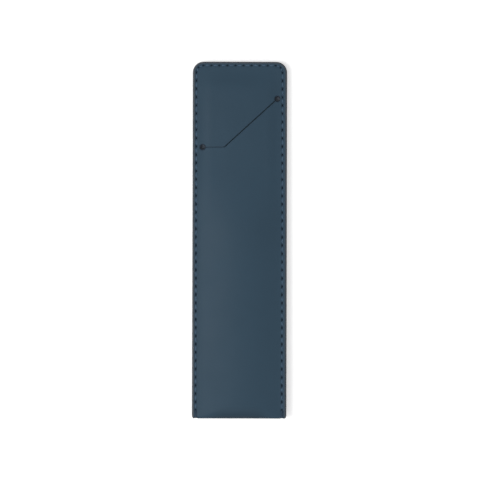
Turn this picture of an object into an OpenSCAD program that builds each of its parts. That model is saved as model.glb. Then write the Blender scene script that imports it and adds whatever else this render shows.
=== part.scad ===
// Leather sleeve for one pen: a strip of leather folded at the bottom, sewn round three sides.
// It lies on its back: +X is its right side, +Y its closed top, +Z its front.
// The seam plane, where the two leathers meet, is z = 0 until rest_on_back() lays the sleeve down.

/* [Sleeve] */
// Length from the top edge to the folded end
sleeve_len = 160; // [130:1:200]
// Width over both sewn edges
sleeve_w = 42.3; // [36:0.1:60]
// Thickness of the leather
leather_t = 1.4; // [1.1:0.1:1.8]
// Radius of the two top corners
top_corner_r = 4.8; // [4:0.1:7]
// Radius of the two corners at the fold
fold_corner_r = 1.1; // [0.4:0.1:2]

/* [Bulge] */
// Room between the leathers in the pocket
pocket_gap = 4.6; // [3.5:0.1:8]
// How far the leather round the slit stands above the seam
slit_rise = 1.2; // [1:0.1:2]
// Height of the seam's underside over the table at the fold
lift_at_fold = 2.5; // [1.5:0.1:3.5]
// Height of the seam's underside over the table at the top
lift_at_top = 0.9; // [0.8:0.1:1.5]
// Width of the flat seam margin
margin_w = 3.15; // [3:0.05:4]
// Width of the slope between the margin and the back's crown, which lies flat on the table
pocket_shoulder = 12; // [6:0.5:13]
// Width of the slope beside the slit
slit_shoulder = 2.8; // [2:0.1:4]
// Length over which the pocket's crown comes down to the slit
slit_slope = 36; // [15:1:50]
// Length over which the leather comes down to the top seam
top_slope = 10; // [6:1:11]
// Length over which the leather turns down to the fold, at the middle
turn_len = 5.8; // [3:0.1:9]

/* [Seam] */
// Distance of the stitches from the left edge
inset_left = 1.7; // [1.5:0.1:2]
// Distance of the stitches from the right edge
inset_right = 2; // [1.5:0.1:2]
// Distance of the stitches from the top edge
inset_top = 1.7; // [1.5:0.1:2]
// Distance of the last needle hole from the folded end
last_hole = 3.8; // [3:0.1:6]
// Length of a stitch, rounded so that each run holds whole stitches
stitch_len = 3.7; // [2.5:0.1:5]
// Diameter of a needle hole
needle_hole_d = 0.95; // [0.8:0.05:1.1]
// Diameter of the thread
thread_d = 0.7; // [0.5:0.05:0.8]
// Depth of the groove that the stitches lie in
groove_depth = 0.3; // [0.2:0.05:0.4]
// Width of that groove
groove_w = 1.1; // [0.9:0.05:1.2]

/* [Slit] */
// Distance of the left relief hole from the left edge
left_hole_in = 4.45; // [4.3:0.05:6]
// Distance of the left relief hole from the top edge
left_hole_down = 38.4; // [30:0.1:60]
// Distance of the right relief hole from the right edge
right_hole_in = 4.35; // [4.2:0.05:6]
// Distance of the right relief hole from the top edge
right_hole_down = 16.7; // [15.5:0.1:25]
// Distance from the left edge to the bend of the cut
bend_in = 14.25; // [11:0.05:20]
// Diameter of the relief holes
relief_d = 2.4; // [1.5:0.1:2.6]
// Width of the cut on its level part
level_kerf = 0.2; // [0.15:0.05:0.5]
// Width of the cut on its slanting part
slant_kerf = 0.4; // [0.3:0.05:0.6]

/* [Flap] */
// How far the flap lifts out of the front
flap_out = 60; // [0:1:70]
// How far the flap bends in towards the back
flap_in = 18; // [0:1:20]
// Clearance all round the flap's bending edge
flap_clearance = 0.06; // [0.04:0.01:0.1]
// Distance from the left relief hole to the start of the bending edge
flap_start = 2; // [1.8:0.1:4]
// Distance from the end of the bending edge to the right relief hole
flap_stop = 5; // [4:0.1:8]

/* [Hidden] */
$fn = 32;

// Steps of the curved surfaces: across the shoulders, over the crown, and along each stretch
slit_steps = 5;
shoulder_steps = 5;
crown_steps = 6;
turn_steps = 7;
pocket_steps = 5;
slope_steps = 7;
land_steps = 3;
nose_steps = 6;
// Flat leather left below the level part of the cut
slit_land = 3.2;
// Step over which a surface's slope is measured
probe = 0.01;
// Above 1, the front's arch starts softly at the seam
arch_power = 1.1;

half_w = sleeve_w / 2;
half_len = sleeve_len / 2;
crown_w = half_w - margin_w;
fold_y = leather_t - half_len;
dome_top = half_len - margin_w;
mean_lift = (lift_at_fold + lift_at_top) / 2;
lift_rate = (lift_at_fold - lift_at_top) / sleeve_len;
lay_angle = atan(lift_rate);
rest_h = (leather_t + mean_lift) * cos(lay_angle);

left_hole = [left_hole_in - half_w, half_len - left_hole_down];
right_hole = [half_w - right_hole_in, half_len - right_hole_down];
slit_bend = [bend_in - half_w, left_hole.y];
flat_low = left_hole.y - slit_land;

// The flap's bending edge runs from hole to hole; places on it are [along it, out from it]
edge_vec = right_hole - left_hole;
edge_len = norm(edge_vec);
edge_turn = atan2(edge_vec.y, edge_vec.x);
bend_along = (slit_bend - left_hole) * edge_vec / edge_len;
bend_out = norm(slit_bend - left_hole) * sin(edge_turn);
slant_turn = atan2(bend_out, edge_len - bend_along);
pivot_r = leather_t / 2;

seam_left = inset_left - half_w;
seam_right = half_w - inset_right;
seam_top = half_len - inset_top;
seam_r = top_corner_r - inset_top;
seam_low = last_hole - half_len;
side_run = seam_top - seam_r - seam_low;
top_run = seam_right - seam_left - 2 * seam_r;
corner_run = 90 * PI / 180 * seam_r;
side_count = round(side_run / stitch_len);
top_count = round(top_run / stitch_len);
corner_count = ceil(corner_run / stitch_len);

thread_r = thread_d / 2;
thread_room = 0.05;
leg_r = thread_r - thread_room;
leg_over = 0.12;
stitch_z = leather_t - groove_depth + thread_r;
stitch_gap = 0.06;
grain_steps = 8;
grain_taper = 0.85;
wrap_r = leather_t - thread_r;
notch_w = thread_d + 2 * thread_room;
notch_floor = leather_t - thread_d - thread_room;

leather = [0.216, 0.286, 0.341];
thread_dark = [0.12, 0.17, 0.24];

function ease(u) = let (c = min(1, max(0, u))) c * c * (3 - 2 * c);
function mix(a, b, u) = a + (b - a) * u;
function steps(a, b, n) = [for (i = [0:n - 1]) a + (b - a) * i / n];

// How far the pocket's crown lies below the seam at the back, at a height y
function lift(y) = mean_lift - lift_rate * y;
// Share of the pocket's cross-section at y, where the rest is the flat one of the slit
function in_pocket(y) = ease((flat_low - y) / slit_slope);
function crown_part(x, w) = ease((crown_w - abs(x)) / w);
// The front stands over the pocket like a bent sheet that is held at its two edges
function arch_part(x) = sin(90 * pow(max(0, 1 - abs(x) / crown_w), arch_power));
// How far the outer face stands out of the margin at x, y
function rise(front, x, y) =
    ease((dome_top - y) / top_slope)
    * (front
        ? mix(slit_rise * crown_part(x, slit_shoulder), (pocket_gap - lift(y)) * arch_part(x), in_pocket(y))
        : lift(y) * crown_part(x, pocket_shoulder));
// Length over which the leather turns down to the fold at x, as a quarter of an ellipse
function turn_at(x) = mix(leather_t, turn_len, crown_part(x, pocket_shoulder));
function turn_down(x, y) =
    let (a = turn_at(x), q = min(1, max(0, (a - half_len - y) / a)))
    sqrt(1 - q * q);
// Height of the outer face over the seam plane
function outer(front, x, y) = (leather_t + rise(front, x, y)) * turn_down(x, y);

// The inner face lies one leather thickness below, measured square to the outer face. Where that would
// be beyond the seam plane, the two leathers lie on each other and the seam plane is the inner face.
function slope_x(front, x, y) = (outer(front, x + probe, y) - outer(front, x - probe, y)) / (2 * probe);
function slope_y(front, x, y) = (outer(front, x, y + probe) - outer(front, x, max(fold_y, y - probe)))
    / (probe + min(probe, y - fold_y));
function inner(front, x, y) =
    let (sx = slope_x(front, x, y), sy = slope_y(front, x, y))
    max(0, outer(front, x, y) - leather_t * sqrt(1 + sx * sx + sy * sy));

// Stations across and along a panel: fine on its slopes, coarse on its flat parts
slit_flat = crown_w - slit_shoulder;
crown_flat = crown_w - pocket_shoulder;
across = concat(
    steps(-crown_w, -slit_flat, slit_steps),
    steps(-slit_flat, -crown_flat, shoulder_steps),
    steps(-crown_flat, crown_flat, crown_steps),
    steps(crown_flat, slit_flat, shoulder_steps),
    steps(slit_flat, crown_w, slit_steps),
    [crown_w]);
turn_angle = asin((turn_len - leather_t) / turn_len);
along = concat(
    [for (a = steps(turn_angle, 0, turn_steps)) turn_len - half_len - turn_len * sin(a)],
    steps(turn_len - half_len, flat_low - slit_slope, pocket_steps),
    steps(flat_low - slit_slope, flat_low, slope_steps),
    steps(flat_low, dome_top - top_slope, land_steps),
    steps(dome_top - top_slope, dome_top, slope_steps),
    [dome_top]);

// Points and faces of a sheet with two sides, given as rows of points of equal length
function sheet_faces(rows, cols) =
    let (n = rows * cols, at = function (r, c) r * cols + c)
    concat(
        [for (r = [0:rows - 2], c = [0:cols - 2]) each [
            [at(r, c), at(r + 1, c), at(r + 1, c + 1)],
            [at(r, c), at(r + 1, c + 1), at(r, c + 1)],
            [n + at(r, c), n + at(r + 1, c + 1), n + at(r + 1, c)],
            [n + at(r, c), n + at(r, c + 1), n + at(r + 1, c + 1)]]],
        [for (r = [0:rows - 2]) each [
            [at(r, 0), n + at(r + 1, 0), at(r + 1, 0)],
            [at(r, 0), n + at(r, 0), n + at(r + 1, 0)],
            [at(r, cols - 1), at(r + 1, cols - 1), n + at(r + 1, cols - 1)],
            [at(r, cols - 1), n + at(r + 1, cols - 1), n + at(r, cols - 1)]]],
        [for (c = [0:cols - 2]) each [
            [at(0, c), at(0, c + 1), n + at(0, c + 1)],
            [at(0, c), n + at(0, c + 1), n + at(0, c)],
            [at(rows - 1, c), n + at(rows - 1, c + 1), at(rows - 1, c + 1)],
            [at(rows - 1, c), n + at(rows - 1, c), n + at(rows - 1, c + 1)]]]);

// The domed middle of a panel, from the seam margin to the crown
module dome(front) {
    high = [for (y = along, x = across) [x, y, outer(front, x, y)]];
    low = [for (y = along, x = across) [x, y, inner(front, x, y)]];
    polyhedron(concat(high, low), sheet_faces(len(along), len(across)));
}

module outline() {
    translate([-half_w, fold_corner_r - half_len])
        square([sleeve_w, sleeve_len - fold_corner_r - top_corner_r]);
    translate([top_corner_r - half_w, 0])
        square([sleeve_w - 2 * top_corner_r, half_len]);
    translate([fold_corner_r - half_w, -half_len])
        square([sleeve_w - 2 * fold_corner_r, half_len]);
    for (side = [-1, 1]) {
        translate([side * (half_w - top_corner_r), half_len - top_corner_r]) circle(top_corner_r);
        translate([side * (half_w - fold_corner_r), fold_corner_r - half_len]) circle(fold_corner_r);
    }
}

// Needle holes in the order in which they are sewn, each [x, y]: up the left side, over the top, down the right
function corner_hole(centre, from, i) =
    let (a = from - 90 * i / corner_count) centre + seam_r * [cos(a), sin(a)];
seam_holes = concat(
    [for (y = steps(seam_low, seam_top - seam_r, side_count)) [seam_left, y]],
    [for (i = [0:corner_count - 1]) corner_hole([seam_left + seam_r, seam_top - seam_r], 180, i)],
    [for (x = steps(seam_left + seam_r, seam_right - seam_r, top_count)) [x, seam_top]],
    [for (i = [0:corner_count - 1]) corner_hole([seam_right - seam_r, seam_top - seam_r], 90, i)],
    [for (y = steps(seam_top - seam_r, seam_low, side_count)) [seam_right, y]],
    [[seam_right, seam_low]]);

module groove_outline(out) {
    r = seam_r + out;
    translate([seam_left - out, -sleeve_len])
        square([seam_right - seam_left + 2 * out, sleeve_len + seam_top - seam_r]);
    translate([seam_left + seam_r, -sleeve_len])
        square([seam_right - seam_left - 2 * seam_r, sleeve_len + seam_top + out]);
    for (x = [seam_left + seam_r, seam_right - seam_r])
        translate([x, seam_top - seam_r]) circle(r);
}

module groove() {
    difference() {
        groove_outline(groove_w / 2);
        groove_outline(-groove_w / 2);
    }
}

// The flat margin that is sewn, with its groove and its needle holes
module margin() {
    difference() {
        linear_extrude(leather_t)
            difference() {
                intersection() {
                    outline();
                    translate([-half_w, fold_y]) square([sleeve_w, sleeve_len]);
                }
                translate([-crown_w, fold_y]) square([2 * crown_w, dome_top - fold_y]);
                for (hole = seam_holes)
                    translate(hole) circle(d = needle_hole_d);
            }
        translate([0, 0, leather_t - groove_depth]) linear_extrude(2 * groove_depth) groove();
        for (x = [seam_left, seam_right])
            margin_notch(x);
    }
}

// Moves a shape drawn in the front panel's slit zone to the flap's bending edge
module at_bending_edge() {
    translate([left_hole.x, left_hole.y, slit_rise])
        rotate([0, 0, edge_turn]) children();
}

// Height out from the bending edge of the flap's free edge, kept back by a part of the kerf
function level_edge(s, back) = s * tan(edge_turn) - back / cos(edge_turn);
function slant_edge(s, back) = (edge_len - s) * tan(slant_turn) - back / cos(slant_turn);
function tip_along(back_level, back_slant) =
    (edge_len * tan(slant_turn) - back_slant / cos(slant_turn) + back_level / cos(edge_turn))
    / (tan(edge_turn) + tan(slant_turn));

// Outline of the flap, grown at its two ends by grow and kept back from the cut's middle line by the kerf's share
module flap_outline(grow, share) {
    from = flap_start - grow;
    to = edge_len - flap_stop + grow;
    tip = tip_along(share * level_kerf, share * slant_kerf);
    polygon([
        [from, 0],
        [from, -level_edge(from, share * level_kerf)],
        [tip, -level_edge(tip, share * level_kerf)],
        [to, -slant_edge(to, share * slant_kerf)],
        [to, 0]]);
}

module kerf_bar(a, b, kerf) {
    d = b - a;
    translate(a) rotate(atan2(d.y, d.x)) translate([0, -kerf / 2]) square([norm(d), kerf]);
}

// Everything that is taken out of the front for the slit, its relief holes and the flap's bending edge
module slit_cut() {
    high = 4 * leather_t;
    translate([0, 0, -leather_t]) linear_extrude(high) {
        kerf_bar(left_hole, slit_bend + [slant_kerf / 4, 0], level_kerf);
        kerf_bar(slit_bend, right_hole, slant_kerf);
    }
    for (hole = [left_hole, right_hole])
        translate([hole.x, hole.y, -leather_t]) cylinder(h = high, d = relief_d);
    at_bending_edge() {
        run = edge_len - flap_start - flap_stop + 2 * flap_clearance;
        translate([0, 0, -leather_t]) linear_extrude(high - slit_rise) flap_outline(flap_clearance, 0);
        translate([flap_start - flap_clearance, 0, pivot_r]) {
            rotate([0, 90, 0]) cylinder(h = run, r = pivot_r + flap_clearance);
            for (turn = [-flap_out, flap_in])
                rotate([turn, 0, 0])
                    translate([0, -leather_t, -pivot_r - flap_clearance])
                        cube([run, leather_t, leather_t + 2 * flap_clearance]);
        }
    }
}

// One stitch from a hole to the next: a grain of thread, fullest in its middle, that lies in the groove
module stitch(a, b) {
    d = b - a;
    half = norm(d) / 2 - stitch_gap;
    side = [for (i = [0:grain_steps]) let (u = 2 * i / grain_steps - 1)
        [thread_r * sqrt(1 - grain_taper * pow(u, 4)), half * u]];
    translate([(a.x + b.x) / 2, (a.y + b.y) / 2, stitch_z])
        rotate([0, 90, atan2(d.y, d.x)])
            rotate_extrude() polygon(concat([[0, -half]], side, [[0, half]]));
}

// The last stitch is sewn over the folded end: along the edge, then round the fold to its nose
module wrap_stitch(x) {
    translate([x, fold_y, wrap_r])
        rotate([-90, 0, 0]) cylinder(h = seam_low - fold_y, r = thread_r);
    translate([x, fold_y, 0])
        rotate([0, -90, 0])
            rotate_extrude(angle = 90, start = -90)
                translate([wrap_r, 0]) circle(thread_r);
}

// Notch that the wrapped stitch is pulled into, along the margin and round the fold
module margin_notch(x) {
    translate([x - notch_w / 2, fold_y, notch_floor])
        cube([notch_w, seam_low - fold_y, leather_t]);
}

module fold_notch(x) {
    translate([x - notch_w / 2, fold_y, 0])
        rotate([0, 90, 0])
            difference() {
                cylinder(h = notch_w, r = 2 * leather_t);
                cylinder(h = notch_w, r = notch_floor);
            }
}

// A thread on one face: a leg in each needle hole down to the other thread, and a stitch between holes
module thread_run() {
    for (i = [0:len(seam_holes) - 2])
        stitch(seam_holes[i], seam_holes[i + 1]);
    for (hole = seam_holes)
        translate([hole.x, hole.y, 0]) cylinder(h = stitch_z + leg_over, r = leg_r);
    for (x = [seam_left, seam_right])
        wrap_stitch(x);
}

// Lays the sleeve on its back, so that the back's crown is flat on the table
module rest_on_back() {
    translate([0, 0, rest_h]) rotate([-lay_angle, 0, 0]) children();
}

module back_panel() {
    color(leather) rest_on_back() mirror([0, 0, 1]) {
        margin();
        dome(false);
    }
}

module front_panel() {
    color(leather) rest_on_back() difference() {
        union() {
            margin();
            dome(true);
        }
        slit_cut();
    }
}

// The turn of the strip round the folded end, one leather thickness deep at its nose
module bottom_fold() {
    xs = concat([-half_w], across, [half_w]);
    ring = function (x, front) let (
        a = turn_at(x),
        b = leather_t + rise(front, x, fold_y),
        from = asin((a - leather_t) / a))
        [for (i = [0:nose_steps]) let (q = from + (90 - from) * i / nose_steps)
            [x, a - half_len - a * sin(q), b * cos(q)]];
    rows = [for (x = xs) let (f = ring(x, true), k = ring(x, false)) concat(
        f,
        [for (i = [1:nose_steps]) let (p = k[nose_steps - i]) [p.x, p.y, -p.z]])];
    cols = 2 * nose_steps + 1;
    last = len(xs) - 1;
    faces = concat(
        [for (r = [0:last - 1], c = [0:cols - 2]) each [
            [r * cols + c, (r + 1) * cols + c + 1, r * cols + c + 1],
            [r * cols + c, (r + 1) * cols + c, (r + 1) * cols + c + 1]]],
        [for (r = [0:last - 1]) each [
            [r * cols, (r + 1) * cols + cols - 1, (r + 1) * cols],
            [r * cols, r * cols + cols - 1, (r + 1) * cols + cols - 1]]],
        [[for (c = [0:cols - 1]) c], [for (c = [cols - 1:-1:0]) last * cols + c]]);
    color(leather) rest_on_back() difference() {
        intersection() {
            polyhedron([for (row = rows) each row], faces);
            translate([0, 0, -2 * pocket_gap]) linear_extrude(4 * pocket_gap) outline();
        }
        for (x = [seam_left, seam_right])
            fold_notch(x);
    }
}

module entry_flap() {
    color(leather) rest_on_back() at_bending_edge() {
        linear_extrude(leather_t) flap_outline(0, 0.5);
        translate([flap_start, 0, pivot_r])
            rotate([0, 90, 0])
                cylinder(h = edge_len - flap_start - flap_stop, r = pivot_r - 0.02);
    }
}

module needle_thread() {
    color(thread_dark) rest_on_back() thread_run();
}

module bobbin_thread() {
    color(thread_dark) rest_on_back() mirror([0, 0, 1]) thread_run();
}

back_panel();
bottom_fold();
front_panel();
entry_flap();
needle_thread();
bobbin_thread();
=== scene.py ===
# %% [markdown]
# # A leather sleeve for one pen
# The real sleeve is one strip of leather, folded at the bottom and sewn round its other three
# sides. A cranked slit near the top is its mouth. This script loads the rigid CAD model as a fixed
# frame, and then makes what the eye sees: leather with rounded and burnished edges, a flap cut free
# by the slit, and stitches that pull dents into the surface.

# %% Load the CAD frame
import math

import bpy
import numpy as np
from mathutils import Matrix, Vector
from mathutils.geometry import delaunay_2d_cdt


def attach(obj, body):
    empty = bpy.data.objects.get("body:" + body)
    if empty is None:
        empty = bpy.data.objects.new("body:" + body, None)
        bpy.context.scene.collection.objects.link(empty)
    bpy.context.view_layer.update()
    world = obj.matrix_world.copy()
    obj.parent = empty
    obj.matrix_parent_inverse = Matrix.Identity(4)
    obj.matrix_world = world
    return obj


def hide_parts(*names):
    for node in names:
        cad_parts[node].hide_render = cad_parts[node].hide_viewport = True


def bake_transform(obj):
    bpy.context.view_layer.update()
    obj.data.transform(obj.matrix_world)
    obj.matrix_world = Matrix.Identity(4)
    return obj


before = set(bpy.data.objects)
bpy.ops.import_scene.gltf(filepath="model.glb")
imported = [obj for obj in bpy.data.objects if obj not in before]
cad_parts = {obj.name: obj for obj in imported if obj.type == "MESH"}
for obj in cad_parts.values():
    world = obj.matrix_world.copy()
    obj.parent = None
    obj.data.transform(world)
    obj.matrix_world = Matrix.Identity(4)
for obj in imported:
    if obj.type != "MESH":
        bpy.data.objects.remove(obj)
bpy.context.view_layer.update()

MM = 0.001

# %% [markdown]
# ## Sizes
# All sizes are in millimetres here, as a leather worker would give them, and turn into metres at
# the very end. Most are the CAD source's, so that every piece lies where its solid lies. The cut,
# its relief holes, the arch and the slopes near the slit are a little finer or softer, as in the
# photo.

# %% Sizes of the sleeve
LENGTH, WIDTH, LEATHER = 160.0, 42.3, 1.4
HALF_W, HALF_L = WIDTH / 2, LENGTH / 2
TOP_CORNER, FOLD_CORNER = 4.8, 1.1
POCKET_GAP, SLIT_RISE = 4.6, 1.2
LIFT_FOLD, LIFT_TOP = 2.5, 0.9
MARGIN, POCKET_SHOULDER = 3.15, 12.0
SLIT_SLOPE, TOP_SLOPE, TURN = 36.0, 10.0, 5.8
EDGE_SHOULDER, SOFT_SHOULDER = 5.5, 15.0
INSET_LEFT, INSET_RIGHT, INSET_TOP = 1.7, 2.0, 1.7
SEAM_LEFT, SEAM_RIGHT = INSET_LEFT - HALF_W, HALF_W - INSET_RIGHT
SEAM_TOP = HALF_L - INSET_TOP
LAST_HOLE, STITCH = 3.8, 3.7
CROWN_W = HALF_W - MARGIN
FOLD_Y = LEATHER - HALF_L
DOME_TOP = HALF_L - MARGIN
LEFT_HOLE = np.array([4.45 - HALF_W, HALF_L - 38.4])
RIGHT_HOLE = np.array([HALF_W - 4.35, HALF_L - 16.7])
BEND = np.array([14.25 - HALF_W, LEFT_HOLE[1]])
RELIEF_R = 1.08
LEVEL_KERF, SLANT_KERF = 0.07, 0.26
FLAT_LOW = LEFT_HOLE[1] - 3.2
MEAN_LIFT = (LIFT_FOLD + LIFT_TOP) / 2
LIFT_RATE = (LIFT_FOLD - LIFT_TOP) / LENGTH
LAY = math.atan(LIFT_RATE)
REST_H = (LEATHER + MEAN_LIFT) * math.cos(LAY)


def to_frame(p):
    """Points of the sleeve, whose seam plane is z = 0, laid on the table and turned into metres."""
    x, y, z = p[:, 0], p[:, 1], p[:, 2]
    c, s = math.cos(LAY), math.sin(LAY)
    return np.stack([x, y * c + z * s, z * c - y * s + REST_H], axis=1) * MM


# %% [markdown]
# ## Camera first
# The photo looks straight down on the sleeve from far away. A long lens keeps both long edges
# parallel. The picture is 480 pixels wide, and one pixel is 0.449 mm at the height of the seam. The
# camera stands a fraction of a pixel off the middle and is turned a little, as in the photo.

# %% Camera
PIXEL = 0.4487
PIXELS = 480
LENS, SENSOR = 120.0, 36.0
OFF_X, OFF_Y = 0.42 * PIXEL, 0.04 * PIXEL
ROLL = math.radians(0.15)
camera_data = bpy.data.cameras.new("camera")
camera_data.lens = LENS
camera_data.sensor_width = SENSOR
camera = bpy.data.objects.new("camera", camera_data)
bpy.context.scene.collection.objects.link(camera)
distance = PIXELS * PIXEL * MM * LENS / SENSOR
camera.location = (OFF_X * MM, OFF_Y * MM, REST_H * MM + distance)
camera.rotation_euler = (0, 0, ROLL)
bpy.context.scene.camera = camera
print("camera distance in m:", round(distance, 3))

# %% [markdown]
# ## The shape of the strip
# Two numbers name a place on the flat strip before it is folded: x across it, and v along it, from
# the front's top edge over the fold to the back's top edge. These functions fold it: they say where
# the outer face of each place goes, and the inner face. Both leathers are flat in the sewn margins.
# Over the pocket the front is an arch from seam to seam, and it comes down to a low zone round the
# slit. The back has a flat crown there, which lies on the table.


# %% Folding functions
def ease(u):
    c = np.clip(u, 0, 1)
    return c * c * (3 - 2 * c)


def mix(a, b, u):
    return a + (b - a) * u


def crown_part(x, width):
    """0 in the margins and 1 on the crown, with a slope of that width between them."""
    return ease((CROWN_W - np.abs(x)) / width)


def arch_part(x):
    """The front stands over the pocket like a bent sheet that is held at its two edges."""
    u = np.maximum(0, 1 - np.abs(x) / CROWN_W)
    return np.sin(math.pi / 2 * u)


def rise(front, x, y):
    """How far a leather stands off the seam plane."""
    lift = MEAN_LIFT - LIFT_RATE * y
    slit = (crown_part(x, EDGE_SHOULDER) + crown_part(x, SOFT_SHOULDER)) / 2
    share = ease((FLAT_LOW - y) / SLIT_SLOPE)
    over = mix(SLIT_RISE * slit, (POCKET_GAP - lift) * arch_part(x), share)
    under = lift * crown_part(x, POCKET_SHOULDER)
    return ease((DOME_TOP - y) / TOP_SLOPE) * np.where(front, over, under)


def turn_at(x):
    """How long the turn at the folded end is: short at the sides and long in the middle."""
    return mix(LEATHER, TURN, crown_part(x, POCKET_SHOULDER))


def outer_height(front, x, y):
    """The height of an outer face over the seam plane, with its quarter ellipse at the fold."""
    a = turn_at(x)
    q = np.clip((a - HALF_L - y) / a, 0, 1)
    return (LEATHER + rise(front, x, y)) * np.sqrt(1 - q * q)


LAYER_GAP = 0.03
SLOPE_STEP, NORMAL_STEP = 0.01, 0.02


def inner_height(front, x, y):
    """The inner face lies one leather below the outer one, square to its slope."""
    e = SLOPE_STEP
    y = np.maximum(y, FOLD_Y)
    here = outer_height(front, x, y)
    sx = (outer_height(front, x + e, y) - outer_height(front, x - e, y)) / (2 * e)
    sy = (outer_height(front, x, y + e) - here) / e
    return np.maximum(here - LEATHER * np.sqrt(1 + sx * sx + sy * sy), LAYER_GAP)


RUN = HALF_L - FOLD_Y
NOSE = 4.4
STRIP_LEN = 2 * RUN + NOSE


def place(v):
    """For places v along the strip: which side, the height y, and -1 to 1 round the nose."""
    front = v < RUN + NOSE / 2
    nose = np.clip((v - RUN) / (NOSE / 2) - 1, -1, 1)
    y = np.where(v <= RUN, HALF_L - v, np.where(v >= RUN + NOSE, FOLD_Y + v - RUN - NOSE, FOLD_Y))
    return front, y, nose


def outer_point(x, v):
    """Places of the outer face, without its dents. Round the nose it is part of an ellipse."""
    front, y, nose = place(v)
    a = turn_at(x)
    b = LEATHER + rise(front, x, np.full_like(y, FOLD_Y))
    start = np.arcsin((a - LEATHER) / a)
    q = start + (math.pi / 2 - start) * (1 - np.abs(nose))
    round_nose = np.abs(nose) < 1
    yy = np.where(round_nose, a - HALF_L - a * np.sin(q), y)
    zz = np.where(round_nose, b * np.cos(q), outer_height(front, x, y))
    return np.stack([x, yy, np.where(front, zz, -zz)], axis=1)


def outer_normal(x, v):
    """The way the outer face looks, from its slopes across the strip and along it."""
    dx = outer_point(x + NORMAL_STEP, v) - outer_point(x - NORMAL_STEP, v)
    dv = outer_point(x, v + NORMAL_STEP) - outer_point(x, v - NORMAL_STEP)
    n = np.cross(dv, dx)
    return n / np.maximum(np.linalg.norm(n, axis=1), 1e-12)[:, None]


def inner_point(x, v):
    """Places of the inner face. Round the nose it goes straight from the front to the back."""
    front, y, nose = place(v)
    zf = inner_height(True, x, y)
    zb = -inner_height(False, x, y)
    z = np.where(np.abs(nose) < 1, mix(zf, zb, (nose + 1) / 2), np.where(front, zf, zb))
    return np.stack([x, y, z], axis=1)


# %% [markdown]
# ## The seam
# The needle holes run up the left side, over the top and down the right side. The same holes carry
# both threads, so the list is made once. Front and back share it.

# %% Needle holes
SEAM_R = TOP_CORNER - INSET_TOP
SEAM_LOW = LAST_HOLE - HALF_L
CORNER_Y = SEAM_TOP - SEAM_R


def run_of(a, b, n):
    return [a + (b - a) * i / n for i in range(n)]


def seam_corner(cx, first):
    """The holes of a quarter turn to the right about (cx, CORNER_Y), from the angle first."""
    n = math.ceil(math.pi / 2 * SEAM_R / STITCH)
    angles = [math.radians(first - 90 * i / n) for i in range(n)]
    return [(cx + SEAM_R * math.cos(a), CORNER_Y + SEAM_R * math.sin(a)) for a in angles]


def seam_line():
    left, right = SEAM_LEFT + SEAM_R, SEAM_RIGHT - SEAM_R
    side_n = round((CORNER_Y - SEAM_LOW) / STITCH)
    top_n = round((SEAM_RIGHT - SEAM_LEFT - 2 * SEAM_R) / STITCH)
    holes = [(SEAM_LEFT, y) for y in run_of(SEAM_LOW, CORNER_Y, side_n)]
    holes += seam_corner(left, 180)
    holes += [(x, SEAM_TOP) for x in run_of(left, right, top_n)]
    holes += seam_corner(right, 90)
    holes += [(SEAM_RIGHT, y) for y in run_of(CORNER_Y, SEAM_LOW, side_n)]
    return np.array(holes + [(SEAM_RIGHT, SEAM_LOW)])


HOLES = seam_line()
print("needle holes:", len(HOLES), " stitches:", len(HOLES) - 1)

# %% [markdown]
# ## Dents, grooves and rounded edges
# A stitch is pulled tight, so it lies in a shallow groove and dives into a dent at each needle
# hole. The cut edges are rubbed round. Both are real shape, so they are made in the mesh and not
# in a bump map: each point of the outer face moves in along its normal by the depth found here. The
# masks say how near a place is to an edge, a dent, the slit's lips or a punched hole, or how far it
# lies in the turn above the fold. The materials read them as attributes: the edge one for the
# burnished edge's own grey, and the others for painted shade in the dents, along the slit, round
# the punched holes (there with the punched edge's own dark) and on the turn above the fold.


# %% Depth functions
def distance_to_outline(x, y):
    ax = np.abs(x)
    qx, qy = ax - (HALF_W - TOP_CORNER), y - (HALF_L - TOP_CORNER)
    corner = TOP_CORNER - np.hypot(np.maximum(qx, 0), np.maximum(qy, 0))
    return np.where((qx > 0) & (qy > 0), corner, np.minimum(HALF_W - ax, HALF_L - y))


def distance_to_line(x, y, points):
    best = np.full(len(x), 1e9)
    for (ax, ay), (bx, by) in zip(points[:-1], points[1:]):
        dx, dy = bx - ax, by - ay
        t = np.clip(((x - ax) * dx + (y - ay) * dy) / (dx * dx + dy * dy), 0, 1)
        best = np.minimum(best, np.hypot(x - ax - t * dx, y - ay - t * dy))
    return best


EDGE_ROUND, EDGE_DROP = 0.85, 0.8
GROOVE_DEPTH, GROOVE_HALF = 0.08, 0.42
DENT_DEPTH, DENT_LONG, DENT_WIDE = 0.7, 0.92, 0.3
DENT_REACH, TOP_SHORTER = 2.2, 0.52
SLIT_ROUND, SLIT_DROP = 0.2, 0.14
SLIT_REACH, FAR_AWAY = 2, 9.0
WRAP_DEPTH, WRAP_HALF, WRAP_MORE = 0.42, 0.42, 0.3
WAVE, WAVE_KEEP_OFF = 0.02, 3
WAVE_LONG, WAVE_WIDE, WAVE_START = 7.1, 6.3, 0.4
WAVE_BEND, WAVE_BEND_LEN = 1.3, 9.0
RIM_MASK, LIP_SHADE_REACH = 1.25, 0.45
PUNCH_MASK, PUNCH_FADE = 0.5, 0.4
WRAP_SHADE_SHARE = 0.7


def rounding(d, width, drop):
    t = np.clip((width - d) / width, 0, 1)
    return drop * (1 - np.sqrt(1 - t * t))


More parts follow.
